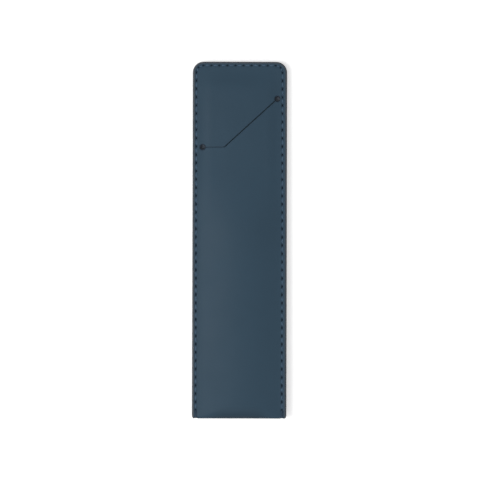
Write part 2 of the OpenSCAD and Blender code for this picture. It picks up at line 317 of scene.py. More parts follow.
def dents(x, y):
    """How deep the dents are at x, y, from 0 to 1, long along the seam and narrow across it.

    They are shorter along the top, and so is the painted shade that the dent mask gives them."""
    out = np.zeros(len(x))
    for i, (hx, hy) in enumerate(HOLES):
        near = (np.abs(x - hx) < DENT_REACH) & (np.abs(y - hy) < DENT_REACH)
        if not near.any():
            continue
        a, b = HOLES[max(i - 1, 0)], HOLES[min(i + 1, len(HOLES) - 1)]
        t = (b - a) / np.hypot(*(b - a))
        along = (x[near] - hx) * t[0] + (y[near] - hy) * t[1]
        across = (y[near] - hy) * t[0] - (x[near] - hx) * t[1]
        long = DENT_LONG * (1 - TOP_SHORTER * abs(t[0]))
        dent = np.exp(-((along / long) ** 4 + (across / DENT_WIDE) ** 2))
        out[near] = np.maximum(out[near], dent)
    return out


def wrap_groove(x, v):
    """The last stitch on each side goes over the fold, in a groove of its own."""
    out = np.zeros(len(x))
    low = HALF_L - SEAM_LOW
    for sx in (SEAM_LEFT, SEAM_RIGHT):
        bed = (v > low - WRAP_MORE) & (v < STRIP_LEN - low + WRAP_MORE)
        out = np.maximum(out, np.where(bed, np.exp(-((x - sx) / WRAP_HALF) ** 2), 0))
    return out


SLIT = np.array([LEFT_HOLE, BEND, RIGHT_HOLE])


def hole_distance(x, y):
    centres = (LEFT_HOLE, RIGHT_HOLE)
    return np.minimum(*(np.hypot(x - cx, y - cy) - RELIEF_R for cx, cy in centres))


def slit_distance(x, y):
    d = distance_to_line(x, y, SLIT[:2]) - LEVEL_KERF / 2
    d = np.minimum(d, distance_to_line(x, y, SLIT[1:]) - SLANT_KERF / 2)
    return np.maximum(np.minimum(d, hole_distance(x, y)), 0)


def depth(x, v):
    """How far the outer face lies below its plain shape, and the masks that the materials read."""
    front, y, nose = place(v)
    rim_d = distance_to_outline(x, np.where(np.abs(nose) < 1, -HALF_L, y))
    sunk = rounding(rim_d, EDGE_ROUND, EDGE_DROP)
    seam = np.exp(-(distance_to_line(x, y, HOLES) / GROOVE_HALF) ** 2) * (np.abs(nose) >= 1)
    dent = dents(x, y) * (np.abs(nose) >= 1)
    wrap = wrap_groove(x, v)
    by_slit = front & (y > FLAT_LOW - SLIT_REACH)
    slit = np.where(by_slit, slit_distance(x, y), FAR_AWAY)
    # a ring round the relief holes, for their painted shade and the punched edge's own dark
    punch_shade_and_edge = (PUNCH_MASK - hole_distance(x, y)) / PUNCH_FADE
    sunk = sunk + GROOVE_DEPTH * seam + DENT_DEPTH * dent + WRAP_DEPTH * wrap
    sunk = sunk + rounding(slit, SLIT_ROUND, SLIT_DROP)
    wavy = np.sin(y / WAVE_LONG + WAVE_BEND * np.sin(x / WAVE_BEND_LEN))
    wavy = wavy * np.sin(x / WAVE_WIDE + WAVE_START)
    sunk = sunk + WAVE * (1 + wavy) * ease((rim_d - WAVE_KEEP_OFF) / WAVE_KEEP_OFF)
    crown = crown_part(x, POCKET_SHOULDER)
    # how far into the turn above the fold a place lies, for the painted shade there
    turned = np.clip((turn_at(x) - HALF_L - y) / turn_at(x), 0, 1) * crown
    masks = {
        "rim": np.clip(1 - rim_d / RIM_MASK, 0, 1),
        # the dent mask carries painted shade in the dents and in the wrapped stitch's groove
        "dent": np.maximum(dent, WRAP_SHADE_SHARE * wrap),
        # painted shade along the slit's lips
        "lip": np.clip(1 - slit / LIP_SHADE_REACH, 0, 1),
        # painted shade round the relief holes, together with the punched edge's own dark
        "punch_shade_and_edge": np.where(by_slit, np.clip(punch_shade_and_edge, 0, 1), 0.0),
        # painted shade on the turn above the fold
        "bent": np.where(np.abs(nose) < 1, crown, turned),
    }
    return sunk, masks


def outer_surface(x, v):
    """The outer face with all its depths, and the masks."""
    sunk, masks = depth(x, v)
    return outer_point(x, v) - outer_normal(x, v) * sunk[:, None], masks


# %% [markdown]
# ## From a flat pattern to a mesh
# A leather worker cuts a flat pattern first. So does this script: it triangulates the pattern with
# all its cut edges, with many points near the seam and few in the middle, and then folds the points
# up. A grid as fine as that over the whole strip would have several times as many faces.


# %% Pattern helpers
KEEP_OFF_FINE, KEEP_OFF_COARSE = 0.12, 0.3
MERGE_WITHIN = 1e-5
FACE, EDGE, FLESH = 0, 1, 2


def inside(points, loop):
    x, y = points[:, 0], points[:, 1]
    hit = np.zeros(len(points), bool)
    for (ax, ay), (bx, by) in zip(loop, np.roll(loop, -1, axis=0)):
        if ay == by:
            continue
        cross = (ay > y) != (by > y)
        hit ^= cross & (x < (bx - ax) * (y - ay) / (by - ay) + ax)
    return hit


def densify(loop, step):
    """The loop with more points on its sides, none further apart than step."""
    out = []
    for a, b in zip(loop, np.roll(loop, -1, axis=0)):
        n = max(1, int(math.ceil(np.hypot(*(b - a)) / step)))
        out += [a + (b - a) * i / n for i in range(n)]
    return np.array(out)


def triangulate(loops, extra, keep_off):
    """Triangles of the pattern: loops[0] is its outline and the rest are holes."""
    verts, edges = [], []
    for loop in loops:
        n0, n = len(verts), len(loop)
        verts += [tuple(p) for p in loop]
        edges += [(n0 + i, n0 + (i + 1) % n) for i in range(n)]
    ok = inside(extra, loops[0])
    for loop in loops[1:]:
        ok &= ~inside(extra, loop)
    for loop in loops:
        closed = np.vstack([loop, loop[:1]])
        ok &= distance_to_line(extra[:, 0], extra[:, 1], closed) > keep_off
    verts += [tuple(p) for p in extra[ok]]
    made = delaunay_2d_cdt([Vector(p) for p in verts], edges, [], 0, MERGE_WITHIN, False)
    points = np.array([tuple(p) for p in made[0]])
    tris = np.array([list(f) for f in made[2]])
    mid = points[tris].mean(axis=1)
    keep = inside(mid, loops[0])
    for loop in loops[1:]:
        keep &= ~inside(mid, loop)
    tris = tris[keep]
    a, b, c = points[tris[:, 0]], points[tris[:, 1]], points[tris[:, 2]]
    area = (b[:, 0] - a[:, 0]) * (c[:, 1] - a[:, 1]) - (b[:, 1] - a[:, 1]) * (c[:, 0] - a[:, 0])
    tris[area < 0] = tris[area < 0][:, ::-1]
    return points, tris


def border(tris):
    """The edges of the triangles that belong to one triangle only, in that triangle's direction."""
    seen = {}
    for t in tris:
        for i in range(3):
            a, b = int(t[i]), int(t[(i + 1) % 3])
            seen[(a, b)] = True
    return [(a, b) for a, b in seen if (b, a) not in seen]


def point_values(mesh, name, values):
    layer = mesh.attributes.new(name, "FLOAT", "POINT")
    layer.data.foreach_set("value", values)


def leather_mesh(name, loops, fine, coarse):
    """A closed piece of leather: its outer face, its inner face and the cut edge between them."""
    out_pts, out_tris = triangulate(loops, fine, KEEP_OFF_FINE)
    in_pts, in_tris = triangulate(loops, coarse, KEEP_OFF_COARSE)
    top, masks = outer_surface(out_pts[:, 0], out_pts[:, 1])
    low = inner_point(in_pts[:, 0], in_pts[:, 1])
    n = len(top)
    verts = to_frame(np.vstack([top, low]))
    key = {tuple(np.round(p, 4)): n + i for i, p in enumerate(in_pts)}
    walls = []
    for a, b in border(out_tris):
        c = key[tuple(np.round(out_pts[b], 4))]
        d = key[tuple(np.round(out_pts[a], 4))]
        walls.append((a, b, c, d))
    # v runs down the front, so a triangle that turns left in the pattern faces in: turn it round
    faces = [tuple(int(i) for i in t[::-1]) for t in out_tris]
    faces += [tuple(int(i) + n for i in t) for t in in_tris]
    faces += [tuple(int(i) for i in w) for w in walls]
    mesh = bpy.data.meshes.new(name)
    mesh.from_pydata([tuple(p) for p in verts], [], faces)
    mesh.validate()
    kinds = [FACE] * len(out_tris) + [FLESH] * len(in_tris) + [EDGE] * len(walls)
    mesh.polygons.foreach_set("material_index", kinds)
    mesh.polygons.foreach_set("use_smooth", [True] * len(kinds))
    cuts = {frozenset(ends) for w in walls for ends in (w[:2], w[2:])}
    sharp = [frozenset(e.vertices) in cuts for e in mesh.edges]
    mesh.edges.foreach_set("use_edge_sharp", sharp)
    for label, values in masks.items():
        both = np.concatenate([values, np.zeros(len(low))])
        point_values(mesh, label, both.astype(np.float32))
    point_values(mesh, "inward", [0.0] * n + [1.0] * len(low))
    piece = bpy.data.objects.new(name, mesh)
    bpy.context.scene.collection.objects.link(piece)
    print(name, len(verts), "points,", len(faces), "faces")
    return piece


# %% [markdown]
# ### The strip's outline
# The strip has round corners at both ends and is straight between them. At the fold its two edges
# are rubbed round, so the outline draws in there, by up to the radius of that corner.


# %% Outline of the strip
OUTLINE_STEP, CORNER_STEPS = 1.0, 8
NOSE_MORE, NOSE_PARTS = 1.5, 3


def half_width(v):
    low = outer_point(np.array([HALF_W]), np.array([v]))[0][1] + HALF_L
    if low >= FOLD_CORNER:
        return HALF_W
    return HALF_W - FOLD_CORNER + math.sqrt(FOLD_CORNER ** 2 - (FOLD_CORNER - low) ** 2)


def strip_outline():
    r, cx, last = TOP_CORNER, HALF_W - TOP_CORNER, STRIP_LEN - TOP_CORNER
    right = []
    for i in range(CORNER_STEPS + 1):
        a = math.pi / 2 - math.pi / 2 * i / CORNER_STEPS
        right.append((cx + r * math.cos(a), r - r * math.sin(a)))
    for v in np.arange(r + OUTLINE_STEP, last - OUTLINE_STEP / 2, OUTLINE_STEP):
        right.append((half_width(v), v))
    for i in range(CORNER_STEPS + 1):
        a = math.pi / 2 * i / CORNER_STEPS
        right.append((cx + r * math.cos(a), last + r * math.sin(a)))
    left = [(-x, v) for x, v in reversed(right)]
    return np.array(right + left)


def nose_steps(loop):
    """More points round the nose, where the strip turns over within a few millimetres."""
    out = []
    for a, b in zip(loop, np.roll(loop, -1, axis=0)):
        out.append(a)
        mid = (a[1] + b[1]) / 2
        if RUN - NOSE_MORE < mid < RUN + NOSE + NOSE_MORE and abs(a[0] - b[0]) < OUTLINE_STEP:
            out += [a + (b - a) * k / NOSE_PARTS for k in range(1, NOSE_PARTS)]
    return np.array(out)


outline = nose_steps(densify(strip_outline(), OUTLINE_STEP))

# %% [markdown]
# ### The slit and the flap
# The cut makes a long triangle of leather free: that is the flap. Its third side is no cut but the
# line on which it bends, from one relief hole to the other. So the pattern has one hole, for the
# cut and the flap together, and the flap is a pattern of its own that shares the bending line.

# %% Loops of the slit
HOLE_ARC, FLAP_RIGHT_ARC, FLAP_LEFT_ARC = 40, 6, 8
SLIT_STEP = 0.6


def arc(centre, a0, a1, n):
    angles = np.linspace(a0, a1, n)
    return [centre + RELIEF_R * np.array([math.cos(a), math.sin(a)]) for a in angles]


def unit(v):
    return v / np.hypot(*v)


def left_of(v):
    return np.array([-v[1], v[0]])


def crossing(p, d, q, e):
    """Where the line from p along d meets the line from q along e."""
    t = ((q[0] - p[0]) * e[1] - (q[1] - p[1]) * e[0]) / (d[0] * e[1] - d[1] * e[0])
    return p + d * t


def on_hole(centre, direction, offset):
    """The point of a relief hole's rim that lies offset to the left of a line from its centre."""
    along = math.sqrt(RELIEF_R ** 2 - offset ** 2)
    return centre + direction * along + left_of(direction) * offset


def angle(p, centre):
    return math.atan2(p[1] - centre[1], p[0] - centre[0])


def past(a, first):
    """The angle a, or the same angle one turn later if it comes before the first."""
    return a + math.tau if a < first else a


def lip(side):
    """A lip from the left hole over the bend to the right hole: side is 1 for the upper one."""
    level, slant = unit(BEND - LEFT_HOLE), unit(RIGHT_HOLE - BEND)
    a = on_hole(LEFT_HOLE, level, side * LEVEL_KERF / 2)
    b = on_hole(RIGHT_HOLE, -slant, -side * SLANT_KERF / 2)
    return a, crossing(a, level, b, slant), b


def slit_loops():
    """The slit's loops in x, y: the hole in the strip, and the flap."""
    low_a, low_bend, low_b = lip(-1)
    up_a, up_bend, up_b = lip(1)
    line = unit(RIGHT_HOLE - LEFT_HOLE)
    # the places on the two rims where the bending line and the lips meet them, as angles
    r_line = angle(on_hole(RIGHT_HOLE, -line, 0), RIGHT_HOLE)
    l_line = angle(on_hole(LEFT_HOLE, line, 0), LEFT_HOLE)
    r_low, l_low = angle(low_b, RIGHT_HOLE), angle(low_a, LEFT_HOLE)
    r_up, l_up = angle(up_b, RIGHT_HOLE), angle(up_a, LEFT_HOLE)
    # the strip's hole runs along the lower lip, round the right relief hole, back on the bending
    # line and round the left relief hole
    hole = [low_a, low_bend] + arc(RIGHT_HOLE, r_low, past(r_line, r_low), HOLE_ARC)
    hole += arc(LEFT_HOLE, l_line, past(l_low, l_line), HOLE_ARC)[:-1]
    # the flap runs along the upper lip and back on the bending line
    flap = [up_a, up_bend, up_b]
    flap += arc(RIGHT_HOLE, r_up % math.tau, r_line % math.tau, FLAP_RIGHT_ARC)[1:]
    flap += arc(LEFT_HOLE, l_line, l_up, FLAP_LEFT_ARC)[:-1]
    return np.array(hole), np.array(flap)


def as_pattern(loop):
    return np.stack([loop[:, 0], HALF_L - loop[:, 1]], axis=1)


hole_xy, flap_xy = slit_loops()
hole_loop = as_pattern(densify(hole_xy, SLIT_STEP))
flap_loop = as_pattern(densify(flap_xy, SLIT_STEP))

# %% Points inside the pattern
ALONG_STITCH = (0, 0.09, 0.18, 0.28, 0.4, 0.5, 0.6, 0.72, 0.82, 0.91)
ACROSS_SEAM = (-0.95, -0.6, -0.38, -0.18, 0, 0.18, 0.38, 0.6, 0.95)
RIM_ROWS = ((0.16, 0.5), (0.36, 0.5), (0.62, 0.5), (0.9, 0.6))
RIM_CORNER = 16
LIP_ROWS, LIP_STEP = (0.1, 0.2, 0.34, 0.7), 0.5
LEFT_BAND, RIGHT_BAND = 2.9, 3.3
FOLD_BAND, FOLD_BAND_IN, SLIT_BAND = 4.6, 4, (12, 44)
NUDGE = 0.01


def grid(x0, x1, dx, v0, v1, dv):
    """A grid of points. Every second one is nudged a little out of line."""
    xs = np.linspace(x0, x1, max(2, int(round((x1 - x0) / dx)) + 1))
    vs = np.linspace(v0, v1, max(2, int(round((v1 - v0) / dv)) + 1))
    g = np.array(np.meshgrid(xs, vs)).reshape(2, -1).T
    g[::2, 0] += NUDGE
    return g


def seam_points(mirror):
    """Rows of points along the seam, closest at the dents. mirror puts them on the back."""
    rows = []
    for i in range(len(HOLES) - 1):
        a, b = HOLES[i], HOLES[i + 1]
        t = unit(b - a)
        n = left_of(t)
        for s in ALONG_STITCH:
            p = a + (b - a) * s
            rows += [p + n * o for o in ACROSS_SEAM]
    pts = np.array(rows)
    v = HALF_L - pts[:, 1]
    return np.stack([pts[:, 0], STRIP_LEN - v if mirror else v], axis=1)


def edge_points():
    """Rows just inside the outline, for its rounding: how far in each lies, and its step."""
    rows = []
    last = STRIP_LEN - TOP_CORNER
    for inset, step in RIM_ROWS:
        for v in np.arange(TOP_CORNER, last, step):
            rows += [(half_width(v) - inset, v), (inset - half_width(v), v)]
        r = TOP_CORNER - inset
        for a in np.linspace(0, math.pi / 2, RIM_CORNER):
            for side in (-1, 1):
                x = side * (HALF_W - TOP_CORNER + r * math.cos(a))
                rows += [(x, TOP_CORNER - r * math.sin(a)), (x, last + r * math.sin(a))]
        for x in np.arange(TOP_CORNER - HALF_W, HALF_W - TOP_CORNER, step):
            rows += [(x, inset), (x, STRIP_LEN - inset)]
    return np.array(rows)


def slit_points():
    """Rows on both sides of the slit's loops, for the rounding of its lips."""
    rows = []
    for loop in (hole_xy, flap_xy):
        d = densify(loop, LIP_STEP)
        for a, b in zip(d, np.roll(d, -1, axis=0)):
            n = left_of(unit(b - a))
            for o in LIP_ROWS:
                rows += [(a + b) / 2 + n * o, (a + b) / 2 - n * o]
    return as_pattern(np.array(rows))


# a grid's numbers are from, to and step across the strip, and then from, to and step along it
MIDDLE = grid(LEFT_BAND - HALF_W, HALF_W - RIGHT_BAND, 1.15,
              LEFT_BAND, STRIP_LEN - LEFT_BAND, 1.5)
FOLD_ROWS = grid(-HALF_W, HALF_W, 0.9, RUN - FOLD_BAND, RUN + NOSE + FOLD_BAND, 0.35)
FINE = np.vstack([seam_points(False), seam_points(True), edge_points(), slit_points(),
                  MIDDLE, FOLD_ROWS])
INSIDE_ALL = grid(-HALF_W, HALF_W, 1.5, 0.5, STRIP_LEN - 0.5, 2.5)
INSIDE_SLIT = grid(-HALF_W, HALF_W, 0.7, *SLIT_BAND, 0.7)
INSIDE_FOLD = grid(-HALF_W, HALF_W, 1.5, RUN - FOLD_BAND_IN, RUN + NOSE + FOLD_BAND_IN, 0.6)
COARSE = np.vstack([INSIDE_ALL, INSIDE_SLIT, INSIDE_FOLD])

# %% Make the leather pieces
strip = leather_mesh("leather_strip", [outline, hole_loop], FINE, COARSE)
flap = leather_mesh("leather_flap", [flap_loop], FINE, COARSE)

# %% [markdown]
# ## Materials
# The sleeve is of vegetable-tanned leather, dyed through in a blue grey, with a smooth satin face.
# Its cut edge is burnished: greyer and a little shiny. Its flesh side, inside the sleeve, is raw.
# Each effect that more than one material uses is a node group with its own inputs.


# %% Helpers for node trees
def srgb(*levels):
    """The linear colour of a red, a green and a blue level from 0 to 255."""
    shares = [level / 255 for level in levels]
    return [c / 12.92 if c <= 0.04045 else ((c + 0.055) / 1.055) ** 2.4 for c in shares] + [1]


def new_group(name, inputs, outputs):
    tree = bpy.data.node_groups.new(name, "ShaderNodeTree")
    for label, kind, value in inputs:
        s = tree.interface.new_socket(label, in_out="INPUT", socket_type=kind)
        s.default_value = value
    for label, kind in outputs:
        tree.interface.new_socket(label, in_out="OUTPUT", socket_type=kind)
    return tree, tree.nodes.new("NodeGroupInput"), tree.nodes.new("NodeGroupOutput")


def add(tree, kind, **settings):
    node = tree.nodes.new(kind)
    for k, v in settings.items():
        setattr(node, k, v)
    return node


def feed(tree, socket, value):
    """A number or a colour is set, and another node's output is linked."""
    if isinstance(value, (int, float, list)):
        socket.default_value = value
    else:
        tree.links.new(value, socket)


def maths(tree, op, a, b):
    node = add(tree, "ShaderNodeMath", operation=op)
    feed(tree, node.inputs[0], a)
    feed(tree, node.inputs[1], b)
    return node.outputs[0]


def scaled(tree, value, gain, offset):
    return maths(tree, "ADD", maths(tree, "MULTIPLY", value, gain), offset)


def noise(tree, vector, scale, detail=2.0, rough=0.5):
    node = add(tree, "ShaderNodeTexNoise")
    tree.links.new(vector, node.inputs["Vector"])
    node.inputs["Scale"].default_value = scale
    node.inputs["Detail"].default_value = detail
    node.inputs["Roughness"].default_value = rough
    return node.outputs["Fac"]


def smooth_step(tree, value, low, high):
    node = add(tree, "ShaderNodeMapRange", interpolation_type="SMOOTHSTEP")
    tree.links.new(value, node.inputs["Value"])
    node.inputs["From Min"].default_value = low
    node.inputs["From Max"].default_value = high
    return node.outputs["Result"]


def blend_colour(tree, fac, a, b):
    node = add(tree, "ShaderNodeMix", data_type="RGBA")
    for socket, value in ((node.inputs["Factor"], fac), (node.inputs[6], a), (node.inputs[7], b)):
        feed(tree, socket, value)
    return node.outputs[2]


# %% [markdown]
# ### Shared groups
# Hide grain is a net of tiny pores and wrinkles: cells about 0.4 mm wide, broken up by noise. Dye
# never takes evenly, so a second group drifts the colour over a few centimetres and adds specks.

# %% Grain and dye groups
WARP_BY = 0.0004
PORE_SLOPE, PORE_PART, FINE_PART = 4.0, 0.5, 0.35
CLOUD_PART, SPECK_PART = 0.75, 0.25


def grain_group():
    inputs = [("Vector", "NodeSocketVector", (0, 0, 0)),
              ("Cells per metre", "NodeSocketFloat", 2400.0),
              ("Wrinkle", "NodeSocketFloat", 0.4)]
    tree, gin, gout = new_group("hide_grain", inputs, [("Height", "NodeSocketFloat")])
    vector = gin.outputs["Vector"]
    warp = add(tree, "ShaderNodeTexNoise")
    warp.inputs["Scale"].default_value = 900.0
    tree.links.new(vector, warp.inputs["Vector"])
    shift = add(tree, "ShaderNodeVectorMath", operation="MULTIPLY_ADD")
    tree.links.new(warp.outputs["Color"], shift.inputs[0])
    shift.inputs[1].default_value = (WARP_BY, WARP_BY, WARP_BY)
    tree.links.new(vector, shift.inputs[2])
    cells = add(tree, "ShaderNodeTexVoronoi", feature="DISTANCE_TO_EDGE")
    tree.links.new(shift.outputs[0], cells.inputs["Vector"])
    tree.links.new(gin.outputs["Cells per metre"], cells.inputs["Scale"])
    pore = maths(tree, "MULTIPLY", cells.outputs["Distance"], PORE_SLOPE)
    pore = maths(tree, "MINIMUM", pore, 1.0)
    fine = noise(tree, vector, scale=5200.0, detail=3.0, rough=0.6)
    wave = noise(tree, vector, scale=420.0)
    height = scaled(tree, pore, PORE_PART, maths(tree, "MULTIPLY", fine, FINE_PART))
    height = scaled(tree, wave, gin.outputs["Wrinkle"], height)
    tree.links.new(height, gout.inputs["Height"])
    return tree


def dye_group():
    inputs = [("Vector", "NodeSocketVector", (0, 0, 0)),
              ("Colour", "NodeSocketColor", (0.1, 0.1, 0.1, 1)),
              ("Drift", "NodeSocketFloat", 0.12)]
    tree, gin, gout = new_group("uneven_dye", inputs, [("Colour", "NodeSocketColor")])
    cloud = noise(tree, gin.outputs["Vector"], scale=38.0, detail=3.0, rough=0.55)
    speck = noise(tree, gin.outputs["Vector"], scale=1500.0, rough=0.6)
    both = scaled(tree, cloud, CLOUD_PART, maths(tree, "MULTIPLY", speck, SPECK_PART))
    off = maths(tree, "SUBTRACT", both, 0.5)
    off = maths(tree, "MULTIPLY", off, gin.outputs["Drift"])
    gain = scaled(tree, off, gain=2.0, offset=1.0)
    scale = add(tree, "ShaderNodeVectorMath", operation="SCALE")
    tree.links.new(gin.outputs["Colour"], scale.inputs[0])
    tree.links.new(gain, scale.inputs["Scale"])
    tree.links.new(scale.outputs[0], gout.inputs["Colour"])
    return tree


HIDE_GRAIN, UNEVEN_DYE = grain_group(), dye_group()


# %% Leather material
def new_material(name, roughness, specular):
    mat = bpy.data.materials.new(name)
    mat.use_nodes = True
    tree = mat.node_tree
    shader = tree.nodes["Principled BSDF"]
    shader.inputs["Roughness"].default_value = roughness
    shader.inputs["Specular IOR Level"].default_value = specular
    coords = add(tree, "ShaderNodeTexCoord").outputs["Object"]
    return mat, tree, shader, coords


def use_group(tree, group, vector, **values):
    node = add(tree, "ShaderNodeGroup", node_tree=group)
    tree.links.new(vector, node.inputs["Vector"])
    for label, value in values.items():
        node.inputs[label].default_value = value
    return node


def bump(tree, shader, height, strength, distance):
    node = add(tree, "ShaderNodeBump")
    node.inputs["Strength"].default_value = strength
    node.inputs["Distance"].default_value = distance
    tree.links.new(height, node.inputs["Height"])
    tree.links.new(node.outputs["Normal"], shader.inputs["Normal"])


def mask(tree, name):
    return add(tree, "ShaderNodeAttribute", attribute_name=name).outputs["Fac"]


def tint(tree, name, strength, colour, to):
    """Where the named mask is 1, that share of another colour is mixed in."""
    return blend_colour(tree, maths(tree, "MULTIPLY", mask(tree, name), strength), colour, to)


LEATHER_BLUE = srgb(46, 68, 84)
EDGE_GREY = srgb(69, 75, 82)
FIBRE_DARK, FIBRE_LIGHT = srgb(50, 55, 62), srgb(84, 89, 96)
JOINT_DARK = srgb(22, 24, 28)
# Painted shade: in dents, grooves and holes (with the punched edges' own dark), on the turn above
# the fold, and along the slit's lips
SHADE_AND_CUT_DARK = srgb(16, 26, 42)
FOLD_TURN_SHADE = srgb(30, 44, 55)
LIP_SHADE = srgb(40, 50, 60)
FLESH_GREY = srgb(80, 88, 98)
BURNT_FROM, BURNT_TO, RAGGED = 0.16, 0.48, 0.5
SHINE_LOW, SHINE_SPAN = 0.46, 0.16


def face_material():
    mat, tree, shader, coords = new_material("leather_face", roughness=0.58, specular=0.2)
    dye = use_group(tree, UNEVEN_DYE, coords, Colour=LEATHER_BLUE, Drift=0.1)
    ragged = maths(tree, "SUBTRACT", noise(tree, coords, scale=1400.0, detail=3.0, rough=0.6), 0.5)
    ragged = scaled(tree, ragged, RAGGED, mask(tree, "rim"))
    burnt = smooth_step(tree, ragged, BURNT_FROM, BURNT_TO)
    colour = blend_colour(tree, burnt, dye.outputs["Colour"], EDGE_GREY)
    # painted shade in the needle holes' dents and in the wrapped stitch's groove
    colour = tint(tree, "dent", 0.9, colour, SHADE_AND_CUT_DARK)
    # painted shade on the turn above the fold, where the face turns away from the light
    colour = tint(tree, "bent", 0.5, colour, FOLD_TURN_SHADE)
    # painted shade along the slit's lips
    colour = tint(tree, "lip", 0.35, colour, LIP_SHADE)
    # painted shade of the relief holes' walls, together with the punched edge's own dark
    colour = tint(tree, "punch_shade_and_edge", 0.85, colour, SHADE_AND_CUT_DARK)
    tree.links.new(colour, shader.inputs["Base Color"])
    grain = use_group(tree, HIDE_GRAIN, coords)
    bump(tree, shader, grain.outputs["Height"], strength=0.22, distance=0.0001)
    rough = scaled(tree, noise(tree, coords, scale=90.0), SHINE_SPAN, SHINE_LOW)
    tree.links.new(rough, shader.inputs["Roughness"])
    return mat


# %% Edge and flesh materials
def edge_material():
    """Fibres that lie level in the cut, and a dark line where the two leathers meet."""
    mat, tree, shader, coords = new_material("leather_edge", roughness=0.5, specular=0.4)
    stretch = add(tree, "ShaderNodeMapping")
    stretch.inputs["Scale"].default_value = (1.0, 1.0, 6.0)
    tree.links.new(coords, stretch.inputs["Vector"])
    fibre = noise(tree, stretch.outputs["Vector"], scale=900.0, detail=4.0, rough=0.65)
    colour = blend_colour(tree, fibre, FIBRE_DARK, FIBRE_LIGHT)
    joint = smooth_step(tree, mask(tree, "inward"), low=0.8, high=1.0)
    colour = blend_colour(tree, joint, colour, JOINT_DARK)
    # painted shade inside the relief holes, together with the punched edge's own dark
    colour = tint(tree, "punch_shade_and_edge", 0.75, colour, SHADE_AND_CUT_DARK)
    tree.links.new(colour, shader.inputs["Base Color"])
    bump(tree, shader, fibre, strength=0.4, distance=0.00015)
    return mat


def flesh_material():
    mat, tree, shader, coords = new_material("leather_flesh", roughness=0.9, specular=0.2)
    shader.inputs["Sheen Weight"].default_value = 0.25
    dye = use_group(tree, UNEVEN_DYE, coords, Colour=FLESH_GREY, Drift=0.3)
    tree.links.new(dye.outputs["Colour"], shader.inputs["Base Color"])
    nap = noise(tree, coords, scale=2600.0, detail=5.0, rough=0.7)
    bump(tree, shader, nap, strength=0.6, distance=0.0003)
    return mat


LEATHER_MATERIALS = [face_material(), edge_material(), flesh_material()]
for piece in (strip, flap):
    for mat in LEATHER_MATERIALS:
        piece.data.materials.append(mat)

# %% [markdown]
# ## Thread
# The seam is a lockstitch in waxed thread of the leather's own tone. One stitch is modelled once,
# as an arch that comes out of a needle hole and dives into the next. Geometry Nodes put it on each
# edge of the seam's line and stretch it to the distance between the two holes.

# %% One stitch
THREAD_R = 0.36
STITCH_TOP = LEATHER - GROOVE_DEPTH - 0.02
STITCH_DIVE, DIVE_POWER = 1.6, 1.7
END_THINNER, THIN_POWER = 0.25, 3
SIDES, RINGS, RING_POWER = 10, 14, 0.8
TWIST, LOBES = 0.9, 3
STEEP = 0.2


def tube(path, radii):
    """A round tube along a path, in millimetres.

    Each point also gets the turns of the twist up to it, and its share of a turn round the tube."""
    path = np.array(path, float)
    tangents = np.gradient(path, axis=0)
    tangents /= np.linalg.norm(tangents, axis=1)[:, None]
    side = np.cross(tangents, np.array([0.0, 0.0, 1.0]))
    steep = np.linalg.norm(side, axis=1) < STEEP
    side[steep] = side[~steep][0]
    side /= np.linalg.norm(side, axis=1)[:, None]
    up = np.cross(side, tangents)
    run = np.concatenate([[0], np.cumsum(np.linalg.norm(np.diff(path, axis=0), axis=1))])
    verts, faces, plies = [], [], []
    for k, p in enumerate(path):
        for j in range(SIDES):
            a = math.tau * j / SIDES
            verts.append(p + radii[k] * (math.cos(a) * side[k] + math.sin(a) * up[k]))
            plies.append((run[k] / TWIST, j / SIDES))
    for k in range(len(path) - 1):
        for j in range(SIDES):
            a, b = k * SIDES + j, k * SIDES + (j + 1) % SIDES
            faces.append((a, a + SIDES, b + SIDES, b))
    faces.append(tuple(range(SIDES)))
    faces.append(tuple(range((len(path) - 1) * SIDES, len(path) * SIDES))[::-1])
    return verts, faces, plies


def thread_piece(name, path, radii, painted_shade=0.0):
    verts, faces, plies = tube(path, radii)
    mesh = bpy.data.meshes.new(name)
    mesh.from_pydata([tuple(v * MM) for v in verts], [], faces)
    layer = mesh.attributes.new("ply", "FLOAT_VECTOR", "POINT")
    # the third value is the share of painted shade on that piece of thread
    values = np.array([(turns, share, painted_shade) for turns, share in plies], np.float32)
    layer.data.foreach_set("vector", values.ravel())
    mesh.polygons.foreach_set("use_smooth", [True] * len(mesh.polygons))
    obj = bpy.data.objects.new(name, mesh)
    bpy.context.scene.collection.objects.link(obj)
    return obj


us = np.linspace(-1, 1, RINGS)
us = np.sign(us) * np.abs(us) ** RING_POWER
arch = [(u * STITCH / 2, 0.0, STITCH_TOP - STITCH_DIVE * abs(u) ** DIVE_POWER) for u in us]
thin = [THREAD_R * (1 - END_THINNER * abs(u) ** THIN_POWER) for u in us]
one_stitch = thread_piece("one_stitch", arch, thin)

# %% [markdown]
# The seam's line is a chain of points, one at each needle hole. The tree reads the two ends of
# each edge, turns the stitch along it, and scales it to that edge's length. The back's thread is
# the same run, mirrored in the seam plane.


# %% Thread material
# Painted shade and painted highlight of the twist's strands
PLY_SHADE, PLY_HIGHLIGHT = srgb(52, 73, 94), srgb(84, 109, 132)


def thread_material():
    """The strands of the twist are lobes, with a painted highlight on top and painted shade
    between.
    """
    mat, tree, shader, _ = new_material("waxed_thread", roughness=0.5, specular=0.2)
    ply = add(tree, "ShaderNodeAttribute", attribute_name="ply")
    parts = add(tree, "ShaderNodeSeparateXYZ")
    tree.links.new(ply.outputs["Vector"], parts.inputs[0])
    turn = maths(tree, "ADD", parts.outputs["X"], parts.outputs["Y"])
    wave = maths(tree, "SINE", maths(tree, "MULTIPLY", turn, LOBES * math.tau), 0.0)
    lobe = scaled(tree, wave, gain=0.5, offset=0.5)
    # painted highlight on each strand's crest and painted shade between the strands
    colour = blend_colour(tree, lobe, PLY_SHADE, PLY_HIGHLIGHT)
    # painted shade on the stitches that wrap over the fold
    colour = blend_colour(tree, parts.outputs["Z"], colour, SHADE_AND_CUT_DARK)
    tree.links.new(colour, shader.inputs["Base Color"])
    bump(tree, shader, lobe, strength=0.8, distance=0.00012)
    return mat


THREAD = thread_material()


